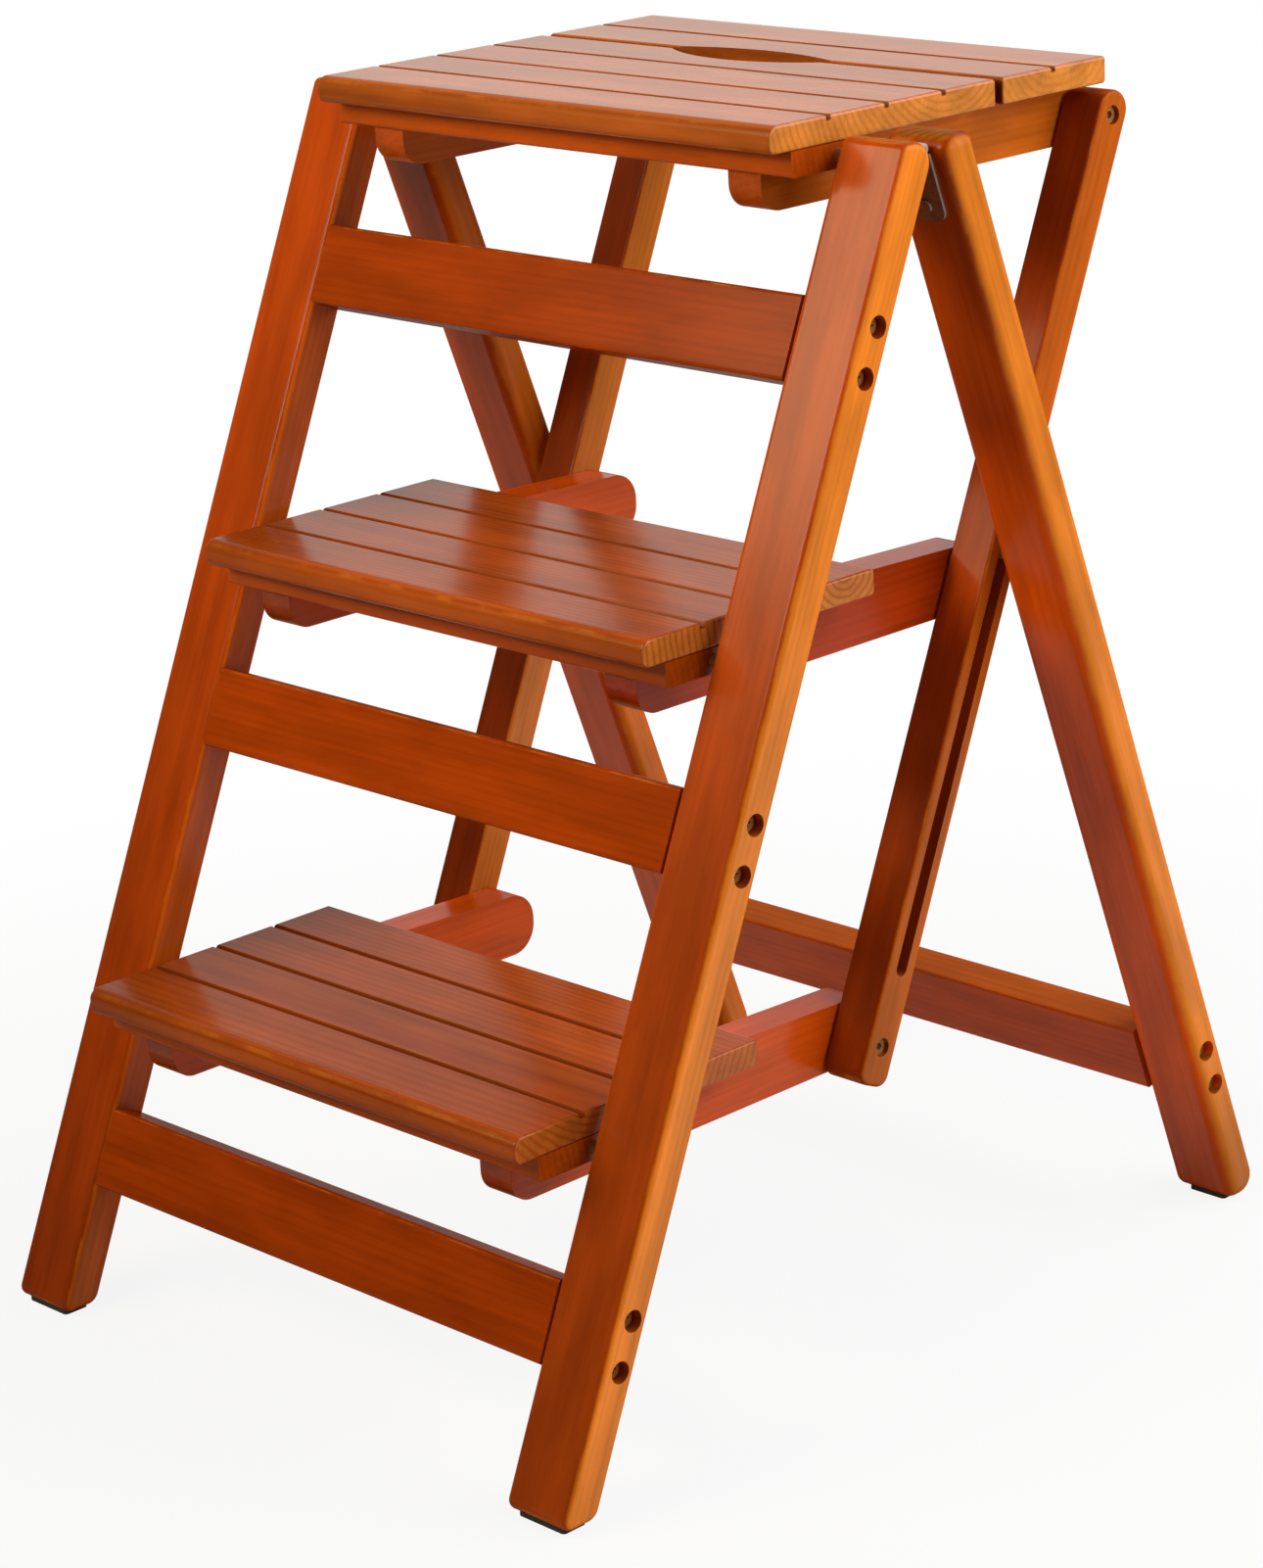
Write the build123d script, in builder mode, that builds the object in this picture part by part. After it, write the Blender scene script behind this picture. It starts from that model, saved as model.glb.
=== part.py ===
"""Folding three-step wooden stool: front frame, rear legs, treads and link bars."""
import os
from math import asin, atan2, cos, hypot, radians, sin, tan

from build123d import *

os.makedirs("parts", exist_ok=True)

# Overall sizes, in millimetres and degrees
overall_width = 432
platform_height = 640
middle_tread_share = 0.6383
lower_tread_share = 0.2883
stile_lean = 23.4
leg_lean = 19.5
fold_angle = 56
frame_top_drop = 10

# Timber sections
stile_width = 42
stile_depth = 22
leg_depth = 22
front_rail_height = 43
front_rail_depth = 20
rear_rail_height = 40
rear_rail_depth = 20
link_width = 26.5
link_depth = 22
side_rail_width = 22
side_rail_height = 33
board_thickness = 14
strip_depth = 50
strip_thickness = 13
edge_round = 3.5
leg_edge_round = 6.5
small_round = 2
board_end_round = 1.5
link_head_round = 10.5
link_foot_round = 7
link_tail = 21
link_head_reach = 13

# Treads
tread_depth = 165
tread_slats = 4
platform_depth = 252
platform_slats = 6
platform_front_slats = 4
platform_gap = 5
nosing_overhang = 45
nosing_top_round = 6
nosing_under_round = 4.5
strip_setback = 15
lower_tread_reach = 4
groove_width = 4.2
groove_floor = 1.8
groove_depth = 2.2
hand_hole_length = 114
hand_hole_front = 18
hand_hole_rear = 11
hand_hole_shift = -8
side_rail_setback = 18
side_rail_tail = 23.5
platform_rail_tail = 14
rail_shoulder_rise = 5
rail_tail_rise = 1.5
side_rail_front_round = 13
side_rail_rear_round = 16

# Rails: up the stile from each front rail's middle to its tread, and up the leg to the rear rail's lower edge
lower_rail_drop = 103.5
middle_rail_drop = 102.6
upper_rail_drop = 109.9
rear_rail_lower_edge = 70

# Rounded ends of stiles and legs
stile_toe_round = 5
stile_heel_round = 8
stile_front_top_round = 4
stile_head_round = 11
leg_toe_round = 6
leg_heel_round = 11
leg_head_round = 9
leg_rear_top_round = 6

# Foot pads
pad_thickness = 2.5
pad_inset = 5
pad_corner = 2
pad_reach = 2
rear_pad_inset = 9

# Clearances
running_clearance = 0.08
screw_clearance = 0.1
side_clearance = 1
tread_end_gap = 9
link_to_stile_gap = 5.3
frame_top_gap = 1.5
slot_clearance = 0.3
shoulder_gap = 0.5
knuckle_gap = 0.15
screw_tip_gap = 0.5

# Screws and pins
counterbore_diameter = 11.5
counterbore_depth = 9
rail_screw_head = 9
rail_screw_head_height = 3.6
rail_screw_shank = 5
rail_screw_grip = 30
rail_screw_pitch = 25.5
rear_screw_pitch = 23
rail_screw_depth = 12
tread_pin_diameter = 7
tread_pin_in_stile = 14
tread_pin_in_strip = 22
link_pivot_back = 252.6
link_screw_head = 9
link_screw_head_height = 3.5
link_bore_diameter = 10
link_counterbore_depth = 6
link_screw_shank = 6
link_screw_grip = 16
link_pin_reach = 9
board_screw_head = 7
board_screw_head_height = 2.4
board_screw_shank = 4
board_screw_bite = 9
board_screw_counterbore = 8.4
board_screw_sink = 14

# Guide pins in the link bar slots
guide_pin_diameter = 7.4
slot_depth = 12
slot_spare = 21.8

# Butt hinges between stiles and rear legs
hinge_offset = 3.2
knuckle_radius = 3
hinge_pin_diameter = 2.8
leaf_thickness = 1.4
leaf_width = 21
leaf_length = 41
leaf_corner = 6
leaf_root = 4
hinge_screw_near = 14
hinge_screw_far = 33
hinge_screw_head = 6
hinge_screw_head_height = 1.2
hinge_screw_shank = 3
hinge_screw_length = 14

# Derived positions across the width
rail_screw_hole = rail_screw_shank + 2 * screw_clearance
half_width = overall_width / 2
stile_inner = half_width - stile_width
half_board = stile_inner - tread_end_gap
board_width = 2 * half_board
link_outer = stile_inner - link_to_stile_gap
link_inner = link_outer - link_width
side_rail_outer = link_inner - side_clearance
side_rail_inner = side_rail_outer - side_rail_width
side_rail_middle = side_rail_outer - side_rail_width / 2
hinge_middle = half_width - stile_width / 2

# Derived positions in the side view
frame_top_height = platform_height - frame_top_drop
middle_tread_height = middle_tread_share * platform_height
lower_tread_height = lower_tread_share * platform_height
rear_rail_along = rear_rail_lower_edge + rear_rail_height / 2
lean = radians(stile_lean)
splay = radians(leg_lean)
stile_cut = stile_depth / cos(lean)
leg_cut = leg_depth / cos(splay)
leg_floor_y = frame_top_height * (tan(lean) + tan(splay)) + stile_cut + frame_top_gap
heel_height = pad_thickness + leg_heel_round
heel_middle_y = leg_floor_y + leg_cut - heel_height * tan(splay) - leg_heel_round / cos(splay)
toe_middle_y = (pad_thickness + stile_toe_round) * tan(lean) + stile_toe_round / cos(lean)
middle_y = (toe_middle_y - stile_toe_round + heel_middle_y + leg_heel_round) / 2


def stile_point(along, depth):
    """Side-view point measured up the stile's front face and back from it."""
    return (along * sin(lean) + depth * cos(lean) - middle_y, along * cos(lean) - depth * sin(lean))


def leg_point(along, depth):
    """Side-view point measured up the rear leg's front face and back from it."""
    back = leg_floor_y - along * sin(splay) + depth * cos(splay)
    return (back - middle_y, along * cos(splay) + depth * sin(splay))


def tread_point(level, back, below):
    """Side-view point measured back from a tread's nosing and down from its top."""
    return (level * tan(lean) - nosing_overhang + back - middle_y, level - below)


def up_stile(point):
    """Distance of a side-view point up the stile's front face."""
    return (point[0] + middle_y) * sin(lean) + point[1] * cos(lean)


def behind_stile(point):
    """Distance of a side-view point behind the stile's front face."""
    return (point[0] + middle_y) * cos(lean) - point[1] * sin(lean)


tread_levels = [platform_height, middle_tread_height, lower_tread_height]
tread_pivot_below = board_thickness + strip_thickness / 2
tread_pivot_back = nosing_overhang + stile_cut / 2 - tread_pivot_below * tan(lean)
link_pivot_below = board_thickness + side_rail_height / 2
tread_pivots = [tread_point(level, tread_pivot_back, tread_pivot_below) for level in tread_levels]
link_pivots = [tread_point(level, link_pivot_back, link_pivot_below) for level in tread_levels]
link_middle = behind_stile(link_pivots[0])
front_rail_alongs = [
    lower_tread_height / cos(lean) - lower_rail_drop,
    middle_tread_height / cos(lean) - middle_rail_drop,
    platform_height / cos(lean) - upper_rail_drop,
]

hinge_room = hinge_offset / cos(lean) + hinge_offset / cos(splay)
hinge_z = (leg_floor_y - stile_cut - hinge_room) / (tan(lean) + tan(splay))
hinge_y = hinge_z * tan(lean) + stile_cut + hinge_offset / cos(lean) - middle_y
hinge_point = (hinge_y, hinge_z)
hinge_up_stile = up_stile(hinge_point)
hinge_up_leg = (leg_floor_y - middle_y - hinge_y) * sin(splay) + hinge_z * cos(splay)

# The guide pin stands on the link's middle line where the leg's middle line crosses it
stile_to_leg = lean + splay
hinge_to_link = link_middle - behind_stile(hinge_point)
leg_middle_offset = hinge_offset + leg_depth / 2
guide_along_leg = (hinge_to_link - leg_middle_offset * cos(stile_to_leg)) / sin(stile_to_leg)
guide_up_stile = hinge_up_stile - guide_along_leg * cos(stile_to_leg) + leg_middle_offset * sin(stile_to_leg)

# Folding lifts the link bars and closes the legs, so the guide pins run down the slots by this travel
fold = radians(fold_angle)
arm_up = up_stile(link_pivots[0]) - up_stile(tread_pivots[0])
arm_back = link_middle - behind_stile(tread_pivots[0])
link_lift = arm_up * (cos(fold) - 1) + arm_back * sin(fold)
link_closing = arm_back * (1 - cos(fold)) + arm_up * sin(fold)
guide_reach = hypot(guide_along_leg, leg_middle_offset)
guide_tilt = atan2(leg_middle_offset, guide_along_leg)
folded_leg_angle = asin((hinge_to_link - link_closing) / guide_reach)
guide_drop = guide_reach * (cos(folded_leg_angle) - cos(stile_to_leg + guide_tilt))
slot_travel = link_lift + guide_drop + slot_spare


def save(shape, name):
    """Name a piece and write its file."""
    shape.label = name
    export_step(shape, "parts/" + name + ".step")


def save_pair(right_piece, name):
    """Write a right-hand piece and its mirrored left-hand twin."""
    save(right_piece, "right_" + name)
    save(mirror(right_piece, about=Plane.YZ), "left_" + name)


def save_both_sides(right_piece, name):
    """Write the pieces of both sides as one node of separate solids."""
    both = Compound(right_piece.solids() + mirror(right_piece, about=Plane.YZ).solids())
    save(both, name)


def drill(points, diameter, start, depth):
    """Cut round holes along X into the piece being built."""
    with BuildSketch(Plane.YZ.offset(start)) as circles:
        with Locations(*points):
            Circle(diameter / 2)
    extrude(circles.sketch, amount=depth, mode=Mode.SUBTRACT)


def rod(points, diameter, start, depth):
    """Add round rods along X to the piece being built."""
    with BuildSketch(Plane.YZ.offset(start)) as circles:
        with Locations(*points):
            Circle(diameter / 2)
    extrude(circles.sketch, amount=depth)


def cross_recess(points, start, size):
    """Cut a cross recess into screw heads that face +X."""
    with BuildSketch(Plane.YZ.offset(start)) as crosses:
        with Locations(*points):
            Rectangle(size, size / 4)
            Rectangle(size / 4, size)
    extrude(crosses.sketch, amount=-size / 3, mode=Mode.SUBTRACT)


# Front stiles with rail screw holes and blind pivot holes
rail_screw_points = []
for rail_along in front_rail_alongs:
    rail_screw_points.append(stile_point(rail_along - rail_screw_pitch / 2, rail_screw_depth))
    rail_screw_points.append(stile_point(rail_along + rail_screw_pitch / 2, rail_screw_depth))
stile_bottom_along = pad_thickness / cos(lean)
stile_top_along = frame_top_height / cos(lean)
stile_back_plane = Plane(
    origin=(hinge_middle, *stile_point(hinge_up_stile, stile_depth)),
    x_dir=(1, 0, 0),
    z_dir=(0, cos(lean), -sin(lean)),
)
leg_front_plane = Plane(
    origin=(hinge_middle, *leg_point(hinge_up_leg, 0)),
    x_dir=(1, 0, 0),
    z_dir=(0, -cos(splay), -sin(splay)),
)

stile_toe = stile_point(stile_bottom_along, 0)
stile_heel = stile_point(stile_bottom_along + stile_depth * tan(lean), stile_depth)
stile_head = stile_point(stile_top_along + stile_depth * tan(lean), stile_depth)
stile_front_top = stile_point(stile_top_along, 0)
with BuildPart() as stile:
    with BuildSketch(Plane.YZ.offset(stile_inner)) as outline:
        with BuildLine():
            Polyline(stile_toe, stile_heel, stile_head, stile_front_top, close=True)
        make_face()
        fillet(outline.vertices().sort_by_distance(stile_toe)[0], radius=stile_toe_round)
        fillet(outline.vertices().sort_by_distance(stile_heel)[0], radius=stile_heel_round)
        fillet(outline.vertices().sort_by_distance(stile_head)[0], radius=stile_head_round)
        fillet(outline.vertices().sort_by_distance(stile_front_top)[0], radius=stile_front_top_round)
    extrude(amount=stile_width)
    fillet(stile.faces().sort_by(Axis.X)[0].edges(), radius=edge_round)
    fillet(stile.faces().sort_by(Axis.X)[-1].edges(), radius=edge_round)
    drill(rail_screw_points, counterbore_diameter, half_width, -counterbore_depth)
    drill(rail_screw_points, rail_screw_hole, half_width, -stile_width)
    drill(tread_pivots, tread_pin_diameter, stile_inner, tread_pin_in_stile)
    with BuildSketch(stile_back_plane):
        with Locations((0, hinge_screw_near), (0, hinge_screw_far)):
            Circle(hinge_screw_shank / 2)
    extrude(amount=-hinge_screw_length, mode=Mode.SUBTRACT)
save_pair(stile.part, "front_stile")


# Front rails between the stiles
def front_rail(rail_along):
    """Front rail flush with the stiles' front faces."""
    low = rail_along - front_rail_height / 2
    high = rail_along + front_rail_height / 2
    screws = [
        stile_point(rail_along - rail_screw_pitch / 2, rail_screw_depth),
        stile_point(rail_along + rail_screw_pitch / 2, rail_screw_depth),
    ]
    with BuildPart() as rail:
        with BuildSketch(Plane.YZ.offset(-stile_inner)) as outline:
            with BuildLine():
                Polyline(
                    stile_point(low, 0),
                    stile_point(low, front_rail_depth),
                    stile_point(high, front_rail_depth),
                    stile_point(high, 0),
                    close=True,
                )
            make_face()
            fillet(outline.vertices(), radius=small_round)
        extrude(amount=2 * stile_inner)
        drill(screws, rail_screw_hole, stile_inner, -rail_screw_grip - screw_tip_gap)
        drill(screws, rail_screw_hole, -stile_inner, rail_screw_grip + screw_tip_gap)
    return rail.part


for rail_name, rail_along in zip(("lower", "middle", "upper"), front_rail_alongs):
    save(front_rail(rail_along), rail_name + "_front_rail")


# Recessed wood screws through the stiles and legs into the rails
def rail_screws(points):
    """Right-hand screws, heads on the counterbore floors."""
    seat = half_width - counterbore_depth
    with BuildPart() as screws:
        rod(points, rail_screw_head, seat, rail_screw_head_height)
        rod(points, rail_screw_shank, seat, -(seat - stile_inner) - rail_screw_grip)
        cross_recess(points, seat + rail_screw_head_height, rail_screw_head / 2)
    return screws.part


save_both_sides(rail_screws(rail_screw_points), "front_rail_screws")

# Rear legs with rounded heels
rear_screw_points = [
    leg_point(rear_rail_along - rear_screw_pitch / 2, rear_rail_depth / 2),
    leg_point(rear_rail_along + rear_screw_pitch / 2, rear_rail_depth / 2),
]
leg_bottom_along = pad_thickness / cos(splay)
leg_top_along = frame_top_height / cos(splay)

leg_toe = leg_point(leg_bottom_along, 0)
leg_heel = leg_point(leg_bottom_along - leg_depth * tan(splay), leg_depth)
leg_rear_top = leg_point(leg_top_along - leg_depth * tan(splay), leg_depth)
leg_head = leg_point(leg_top_along, 0)
with BuildPart() as leg:
    with BuildSketch(Plane.YZ.offset(stile_inner)) as outline:
        with BuildLine():
            Polyline(leg_toe, leg_heel, leg_rear_top, leg_head, close=True)
        make_face()
        fillet(outline.vertices().sort_by_distance(leg_toe)[0], radius=leg_toe_round)
        fillet(outline.vertices().sort_by_distance(leg_heel)[0], radius=leg_heel_round)
        fillet(outline.vertices().sort_by_distance(leg_rear_top)[0], radius=leg_rear_top_round)
        fillet(outline.vertices().sort_by_distance(leg_head)[0], radius=leg_head_round)
    extrude(amount=stile_width)
    fillet(leg.faces().sort_by(Axis.X)[0].edges(), radius=leg_edge_round)
    fillet(leg.faces().sort_by(Axis.X)[-1].edges(), radius=leg_edge_round)
    drill(rear_screw_points, counterbore_diameter, half_width, -counterbore_depth)
    drill(rear_screw_points, rail_screw_hole, half_width, -stile_width)
    with BuildSketch(leg_front_plane):
        with Locations((0, -hinge_screw_near), (0, -hinge_screw_far)):
            Circle(hinge_screw_shank / 2)
    extrude(amount=-hinge_screw_length, mode=Mode.SUBTRACT)
save_pair(leg.part, "rear_leg")

with BuildPart() as rear_rail:
    with BuildSketch(Plane.YZ.offset(-stile_inner)) as outline:
        with BuildLine():
            Polyline(
                leg_point(rear_rail_along - rear_rail_height / 2, 0),
                leg_point(rear_rail_along - rear_rail_height / 2, rear_rail_depth),
                leg_point(rear_rail_along + rear_rail_height / 2, rear_rail_depth),
                leg_point(rear_rail_along + rear_rail_height / 2, 0),
                close=True,
            )
        make_face()
        fillet(outline.vertices(), radius=small_round)
    extrude(amount=2 * stile_inner)
    drill(rear_screw_points, rail_screw_hole, stile_inner, -rail_screw_grip - screw_tip_gap)
    drill(rear_screw_points, rail_screw_hole, -stile_inner, rail_screw_grip + screw_tip_gap)
save(rear_rail.part, "rear_rail")
save_both_sides(rail_screws(rear_screw_points), "rear_rail_screws")

# Rubber pads under the flat soles of stiles and legs
acute_lean = tan(radians(45 + stile_lean / 2))
acute_splay = tan(radians(45 + leg_lean / 2))
stile_sole_front = pad_thickness * tan(lean) + stile_toe_round * acute_lean - middle_y
stile_sole = stile_cut - stile_toe_round * acute_lean - stile_heel_round / acute_lean
leg_sole_front = leg_floor_y - pad_thickness * tan(splay) + leg_toe_round / acute_splay - middle_y
leg_sole = leg_cut - leg_toe_round / acute_splay - leg_heel_round * acute_splay


def foot_pad(sole_front, sole, inset):
    """Right-hand pad, set in from the timber's sides and a little longer than the flat sole above it."""
    with BuildPart() as pad:
        with BuildSketch(Plane.XY):
            with Locations((hinge_middle, sole_front + sole / 2)):
                RectangleRounded(stile_width - 2 * inset, sole + 2 * pad_reach, pad_corner)
        extrude(amount=pad_thickness)
    return pad.part


save_both_sides(foot_pad(stile_sole_front, stile_sole, pad_inset), "front_foot_pads")
save_both_sides(foot_pad(leg_sole_front, leg_sole, rear_pad_inset), "rear_foot_pads")


# Butt hinges: each leaf is drawn flat on its timber face, knuckles on the hinge line
def hinge_leaf(face, side, own_sections):
    """Right-hand leaf on a timber face, running down from its knuckles."""
    with BuildPart() as leaf:
        with BuildSketch(face) as plate:
            with Locations((0, side * (leaf_root + leaf_length) / 2)):
                Rectangle(leaf_width, leaf_length - leaf_root)
            far_corners = plate.vertices().sort_by(Axis((0, 0, 0), (0, side, 0)))[-2:]
            fillet(far_corners, radius=leaf_corner)
            with Locations((0, side * hinge_screw_near), (0, side * hinge_screw_far)):
                Circle(hinge_screw_shank / 2 + screw_clearance, mode=Mode.SUBTRACT)
        extrude(amount=leaf_thickness)
        for section_start, section_width in own_sections:
            with BuildSketch(face):
                with Locations((section_start + section_width / 2, side * leaf_root / 2)):
                    Rectangle(section_width, leaf_root)
            extrude(amount=leaf_thickness)
            rod([hinge_point], 2 * knuckle_radius, hinge_middle + section_start, section_width)
        pin_bore = hinge_pin_diameter + 2 * running_clearance
        drill([hinge_point], pin_bore, hinge_middle - leaf_width, 2 * leaf_width)
    return leaf.part


section = leaf_width / 3
outer_section = section - knuckle_gap
stile_sections = [(-leaf_width / 2, outer_section), (leaf_width / 2 - outer_section, outer_section)]
leg_sections = [(-section / 2, section)]
save_both_sides(hinge_leaf(stile_back_plane, 1, stile_sections), "hinge_stile_leaves")
save_both_sides(hinge_leaf(leg_front_plane, -1, leg_sections), "hinge_leg_leaves")

with BuildPart() as hinge_pins:
    rod([hinge_point], hinge_pin_diameter, hinge_middle - leaf_width / 2, leaf_width)
save_both_sides(hinge_pins.part, "hinge_pins")


def hinge_screws(face, side):
    """Right-hand pan-head screws through a hinge leaf."""
    with BuildPart() as screws:
        with BuildSketch(face.offset(leaf_thickness)):
            with Locations((0, side * hinge_screw_near), (0, side * hinge_screw_far)):
                Circle(hinge_screw_head / 2)
        extrude(amount=hinge_screw_head_height)
        with BuildSketch(face.offset(leaf_thickness)):
            with Locations((0, side * hinge_screw_near), (0, side * hinge_screw_far)):
                Circle(hinge_screw_shank / 2)
        extrude(amount=-leaf_thickness - hinge_screw_length)
    return screws.part


save_both_sides(hinge_screws(stile_back_plane, 1), "hinge_stile_screws")
save_both_sides(hinge_screws(leg_front_plane, -1), "hinge_leg_screws")

# Blind pivot pins that carry the treads between the stiles
with BuildPart() as tread_pins:
    rod(tread_pivots, tread_pin_diameter, half_board - tread_pin_in_strip,
        stile_inner - half_board + tread_pin_in_strip + tread_pin_in_stile)
save_both_sides(tread_pins.part, "tread_pivot_pins")


# Treads: grooved board, strip under the nosing, two side rails
def slat_grooves(level, backs):
    """Cut the grooves that divide a board's top into slats."""
    with BuildSketch(Plane.YZ.offset(-half_board)) as grooves:
        for back in backs:
            with BuildLine():
                Polyline(
                    tread_point(level, back - groove_width / 2, 0),
                    tread_point(level, back - groove_floor / 2, groove_depth),
                    tread_point(level, back + groove_floor / 2, groove_depth),
                    tread_point(level, back + groove_width / 2, 0),
                    close=True,
                )
            make_face()
    extrude(grooves.sketch, amount=board_width, mode=Mode.SUBTRACT)


def board_screw_holes(level, backs):
    """Cut screw holes into a board's underside over both side rails."""
    with BuildSketch(Plane.XY.offset(level - board_thickness)) as holes:
        for back in backs:
            with Locations((side_rail_middle, tread_point(level, back, 0)[0]),
                           (-side_rail_middle, tread_point(level, back, 0)[0])):
                Circle(board_screw_shank / 2 + screw_clearance)
    extrude(holes.sketch, amount=board_screw_bite + screw_tip_gap, mode=Mode.SUBTRACT)


def tread_board(level, start, end, groove_backs, screw_backs, front_rounds):
    """Board across the stool, its front and rear edges rounded."""
    with BuildPart() as board:
        with BuildSketch(Plane.YZ.offset(-half_board)) as outline:
            with BuildLine():
                Polyline(
                    tread_point(level, start, 0),
                    tread_point(level, end, 0),
                    tread_point(level, end, board_thickness),
                    tread_point(level, start, board_thickness),
                    close=True,
                )
            make_face()
            front_corners = outline.vertices().sort_by(Axis.X)[:2].sort_by(Axis.Y)
            fillet(front_corners[1], radius=front_rounds[0])
            fillet(outline.vertices().sort_by(Axis.Y)[0:2].sort_by(Axis.X)[0], radius=front_rounds[1])
            fillet(outline.vertices().sort_by(Axis.X)[-2:], radius=small_round)
        extrude(amount=board_width)
        fillet(board.faces().sort_by(Axis.X)[0].edges(), radius=board_end_round)
        fillet(board.faces().sort_by(Axis.X)[-1].edges(), radius=board_end_round)
        slat_grooves(level, groove_backs)
        board_screw_holes(level, screw_backs)
    return board.part


def tread_strip(level, reach):
    """Strip under the nosing with a pivot bore in each end."""
    pivot = tread_point(level, tread_pivot_back, tread_pivot_below)
    front = strip_setback - reach
    rear = strip_setback + strip_depth
    with BuildPart() as strip:
        with BuildSketch(Plane.YZ.offset(-half_board)) as outline:
            with BuildLine():
                Polyline(
                    tread_point(level, front, board_thickness),
                    tread_point(level, rear, board_thickness),
                    tread_point(level, rear, board_thickness + strip_thickness),
                    tread_point(level, front, board_thickness + strip_thickness),
                    close=True,
                )
            make_face()
            fillet(outline.vertices().sort_by(Axis.Y)[:2].sort_by(Axis.X)[0], radius=small_round)
        extrude(amount=board_width)
        bore = tread_pin_diameter + 2 * running_clearance
        drill([pivot], bore, half_board, -tread_pin_in_strip - screw_tip_gap)
        drill([pivot], bore, -half_board, tread_pin_in_strip + screw_tip_gap)
    return strip.part


def side_rail(level, depth, reach, rises, tail, screw_backs):
    """Right-hand side rail, notched for the strip, with a sloping shoulder behind the boards."""
    shoulder_rise, tail_rise = rises
    front = side_rail_setback - reach
    rear = link_pivot_back + tail
    top = board_thickness
    bottom = board_thickness + side_rail_height
    notch_floor = board_thickness + strip_thickness
    notch_rear = strip_setback + strip_depth
    shoulder = depth + shoulder_gap
    corners = [
        tread_point(level, front, bottom),
        tread_point(level, front, notch_floor),
        tread_point(level, notch_rear, notch_floor),
        tread_point(level, notch_rear, top),
    ]
    if shoulder_rise > 0:
        corners.append(tread_point(level, shoulder, top))
        corners.append(tread_point(level, shoulder, top - shoulder_rise))
    corners.append(tread_point(level, rear, top - tail_rise))
    corners.append(tread_point(level, rear, bottom))
    with BuildPart() as rail:
        with BuildSketch(Plane.YZ.offset(side_rail_inner)) as outline:
            with BuildLine():
                Polyline(*corners, close=True)
            make_face()
            fillet(outline.vertices().sort_by(Axis.X)[-2:], radius=side_rail_rear_round)
            fillet(outline.vertices().sort_by(Axis.X)[:2].sort_by(Axis.Y)[0], radius=side_rail_front_round)
        extrude(amount=side_rail_width)
        link_hole = tread_point(level, link_pivot_back, link_pivot_below)
        drill([link_hole], link_screw_shank, side_rail_outer, -link_screw_grip)
        screw_points = [(side_rail_middle, tread_point(level, back, 0)[0]) for back in screw_backs]
        with BuildSketch(Plane.XY.offset(level - bottom)):
            with Locations(*screw_points):
                Circle(board_screw_counterbore / 2)
        extrude(amount=board_screw_sink, mode=Mode.SUBTRACT)
        with BuildSketch(Plane.XY.offset(level - bottom)):
            with Locations(*screw_points):
                Circle(board_screw_shank / 2 + screw_clearance)
        extrude(amount=side_rail_height, mode=Mode.SUBTRACT)
    return rail.part


def board_screws(level, screw_backs):
    """Right-hand screws driven up through a side rail into the boards."""
    seat = level - board_thickness - side_rail_height + board_screw_sink
    points = [(side_rail_middle, tread_point(level, back, 0)[0]) for back in screw_backs]
    with BuildPart() as screws:
        with BuildSketch(Plane.XY.offset(seat)):
            with Locations(*points):
                Circle(board_screw_head / 2)
        extrude(amount=-board_screw_head_height)
        with BuildSketch(Plane.XY.offset(seat)):
            with Locations(*points):
                Circle(board_screw_shank / 2)
        extrude(amount=side_rail_height - board_screw_sink + board_screw_bite)
        with BuildSketch(Plane.XY.offset(seat - board_screw_head_height)):
            with Locations(*points):
                Rectangle(board_screw_head / 2, board_screw_head / 8)
                Rectangle(board_screw_head / 8, board_screw_head / 2)
        extrude(amount=board_screw_head_height / 2, mode=Mode.SUBTRACT)
    return screws.part


def link_screws(level):
    """Right-hand shoulder screw through the link bar into a side rail."""
    point = tread_point(level, link_pivot_back, link_pivot_below)
    seat = link_outer - link_counterbore_depth
    with BuildPart() as screws:
        rod([point], link_screw_head, seat, link_screw_head_height)
        rod([point], link_screw_shank, seat, side_rail_outer - link_screw_grip - seat)
        with BuildSketch(Plane.YZ.offset(seat + link_screw_head_height)):
            with Locations(point):
                RegularPolygon(link_screw_head / 4, 6)
        extrude(amount=-link_screw_head_height / 2, mode=Mode.SUBTRACT)
    return screws.part


def link_pins(level):
    """Right-hand blind pin from a side rail into the link bar, clear of the guide slot."""
    point = tread_point(level, link_pivot_back, link_pivot_below)
    with BuildPart() as pins:
        rod([point], link_screw_shank, side_rail_outer - link_screw_grip,
            link_screw_grip + side_clearance + link_pin_reach - screw_tip_gap)
    return pins.part


def save_tread(name, level, reach, rail, screw_backs):
    """Write the strip, side rails and board screws of one tread."""
    save(tread_strip(level, reach), name + "_strip")
    save(rail, name + "_right_side_rail")
    save(mirror(rail, about=Plane.YZ), name + "_left_side_rail")
    save_both_sides(board_screws(level, screw_backs), name + "_board_screws")


slat_pitch = tread_depth / tread_slats
tread_grooves = [slat_pitch * count for count in range(1, tread_slats)]
tread_screws = [slat_pitch * 2.5, slat_pitch * 3.5]
nosing_rounds = (nosing_top_round, nosing_under_round)
tread_rises = (rail_shoulder_rise, rail_tail_rise)
tread_rows = [
    ("middle_tread", middle_tread_height, 0),
    ("lower_tread", lower_tread_height, lower_tread_reach),
]
for tread_name, tread_level, reach in tread_rows:
    board = tread_board(tread_level, -reach, tread_depth, tread_grooves, tread_screws, nosing_rounds)
    save(board, tread_name + "_board")
    rail = side_rail(tread_level, tread_depth, reach, tread_rises, side_rail_tail, tread_screws)
    save_tread(tread_name, tread_level, reach, rail, tread_screws)
save_both_sides(link_pins(middle_tread_height), "middle_tread_link_pins")
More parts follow.
